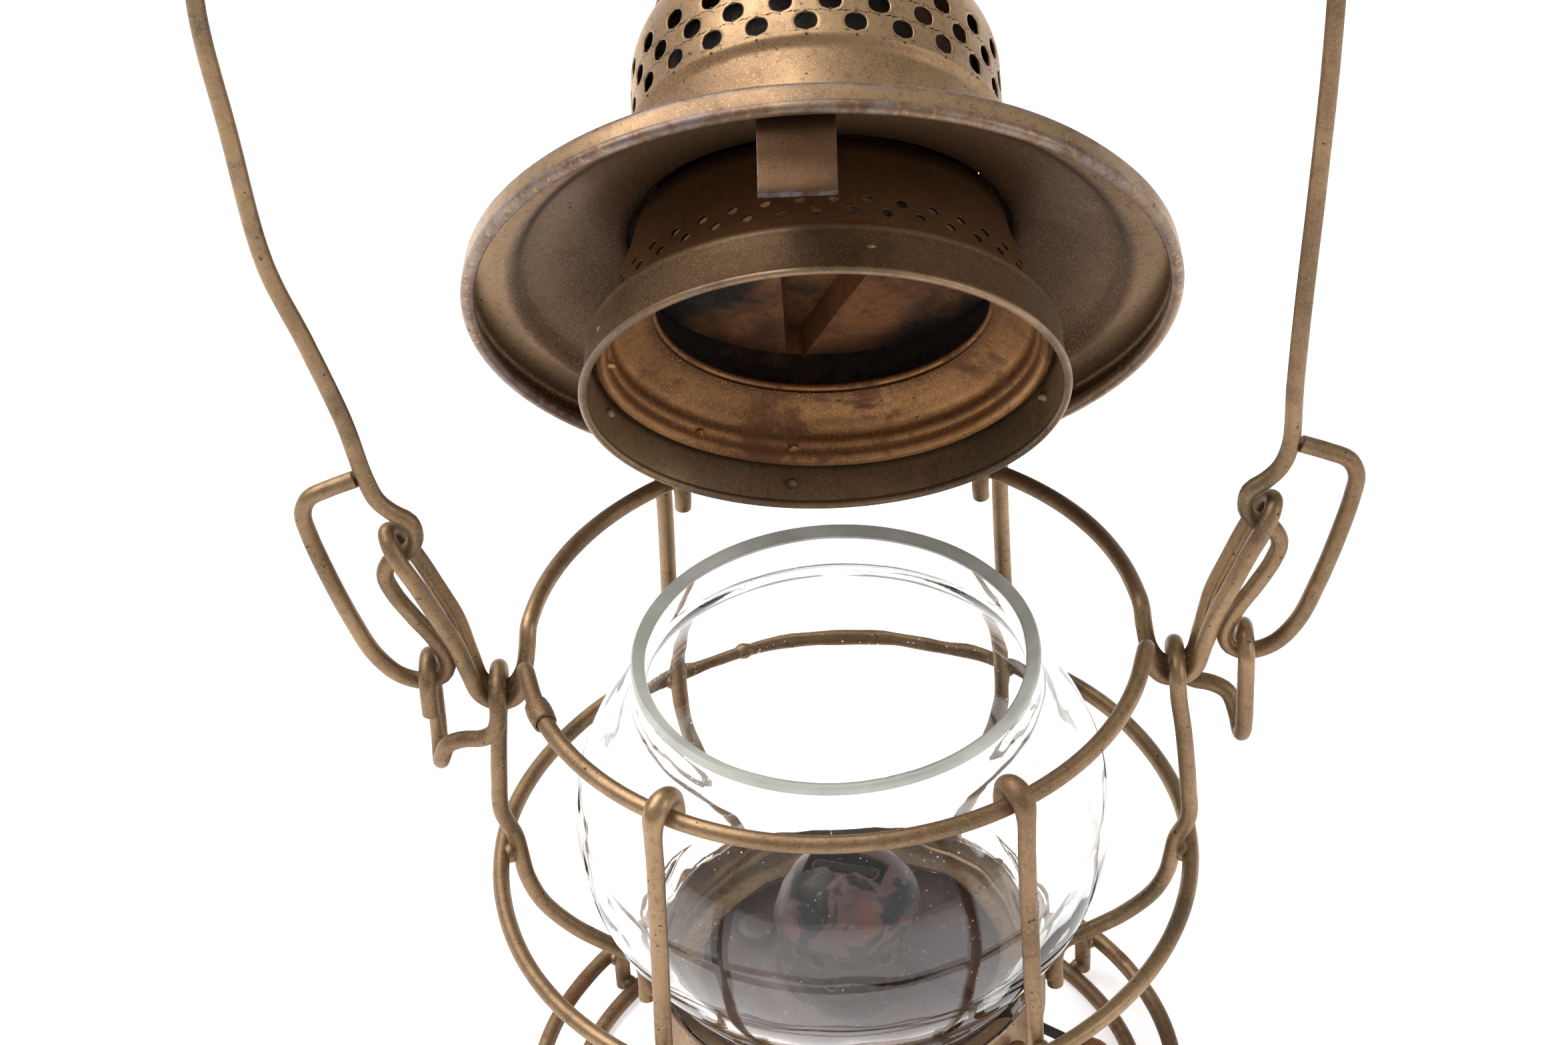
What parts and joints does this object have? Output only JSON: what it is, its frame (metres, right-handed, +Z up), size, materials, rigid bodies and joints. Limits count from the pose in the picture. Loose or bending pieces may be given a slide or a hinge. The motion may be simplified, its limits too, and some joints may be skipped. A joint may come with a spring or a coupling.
{
  "type": "railway lantern",
  "caption": "Wire-frame railway hand lantern with a short round glass globe, a hinged ventilated hood standing open, a wire bail in side ears and a drop-out fount with a flat-wick burner.",
  "frame": {"origin": "on the lantern's vertical axis, at the level of the surface that the base ring stands on, within 1.5 mm of the fount's underside", "axes": "+Z up along the axis through the raised bail, +X to the right along the line of the two ears, +Y towards the hood's hinge at the back"},
  "size_m": [0.2078, 0.1907, 0.3594],
  "materials": {
    "frame_wire": "gold-bronze paint worn to grey and brown steel",
    "bronze_paint": "mottled gold-bronze paint on sheet steel, worn at the edges",
    "sooted_sheet": "brown paint under soot and rust",
    "rusty_sheet": "warm orange-brown rust",
    "fount_tin": "dark purple-brown tarnished tin",
    "burner_brass": "tarnished brass",
    "spindle_steel": "dark steel with a rusty knob",
    "globe_glass": "clear pressed glass, dusty, with a ground rim",
    "wick_cotton": "woven cotton, charred at the top"
  },
  "bodies": {
    "frame": {"top_ring": "frame_wire", "ring_weld_sleeve": "frame_wire", "guard_ring": "frame_wire", "bumper_ring": "frame_wire", "base_ring": "frame_wire", "upright_back_right": "frame_wire", "upright_back_left": "frame_wire", "upright_front_left": "frame_wire", "upright_front_right": "frame_wire", "leg_back_right": "frame_wire", "leg_back_left": "frame_wire", "leg_front_left": "frame_wire", "leg_front_right": "frame_wire", "side_upright_right": "frame_wire", "side_upright_left": "frame_wire", "seat_collar": "bronze_paint", "hinge_clip": "frame_wire", "hinge_pin": "spindle_steel"},
    "globe": {"globe": "globe_glass"},
    "hood": {"hood_brim": "bronze_paint", "chimney_band": "bronze_paint", "chimney_cap": "bronze_paint", "wind_shield": "rusty_sheet", "hood_collar": "bronze_paint", "globe_ring": "bronze_paint", "inner_ring": "sooted_sheet", "draft_vane": "rusty_sheet", "hinge_leaf": "bronze_paint"},
    "latch": {"latch_clip": "bronze_paint"},
    "bail": {"bail": "frame_wire"},
    "fount": {"fount_tank": "fount_tin", "burner_cup": "burner_brass", "burner_dome": "fount_tin", "wick_tube": "burner_brass"},
    "filler_cap": {"filler_cap": "fount_tin"},
    "wick_raiser": {"wick_spindle": "spindle_steel", "wick_knob": "spindle_steel"},
    "wick": {"wick": "wick_cotton"}
  },
  "joints": [
    {"name": "hood_hinge", "type": "hinge", "parent": "frame", "child": "hood", "pos_m": [0, 0.0577, 0.1249], "axis": [-1, 0, 0], "range_deg": [-65.3, 20]},
    {"name": "latch_flex", "type": "hinge", "parent": "hood", "child": "latch", "pos_m": [-0.003, 0.0214, 0.2366], "axis": [-1, 0, 0], "range_deg": [-4, 8], "stiffness_Nm_per_rad": 0.2},
    {"name": "bail_swing", "type": "hinge", "parent": "frame", "child": "bail", "pos_m": [0, 0, 0.148], "axis": [1, 0, 0], "range_deg": [-2.5, 2.5]},
    {"name": "globe_turn", "type": "hinge", "parent": "frame", "child": "globe", "pos_m": [0, 0, 0.088], "axis": [0, 0, 1], "continuous": true},
    {"name": "fount_drop", "type": "slide", "parent": "frame", "child": "fount", "axis": [0, 0, -1], "range_m": [0, 0.06]},
    {"name": "filler_cap_turn", "type": "hinge", "parent": "fount", "child": "filler_cap", "pos_m": [-0.02, 0.01, 0.042], "axis": [0, 0, 1], "continuous": true},
    {"name": "wick_raiser_turn", "type": "hinge", "parent": "fount", "child": "wick_raiser", "pos_m": [-0.00114, -0.00352, 0.05462], "axis": [0.8937, -0.2904, -0.342], "range_deg": [-120, 140]},
    {"name": "wick_raise", "type": "slide", "parent": "fount", "child": "wick", "axis": [0, 0, 1], "range_m": [-0.00492, 0.00574]}
  ],
  "couplings": [
    {"joint": "wick_raise", "follows": "wick_raiser_turn", "m_per_rad": 0.00235}
  ]
}
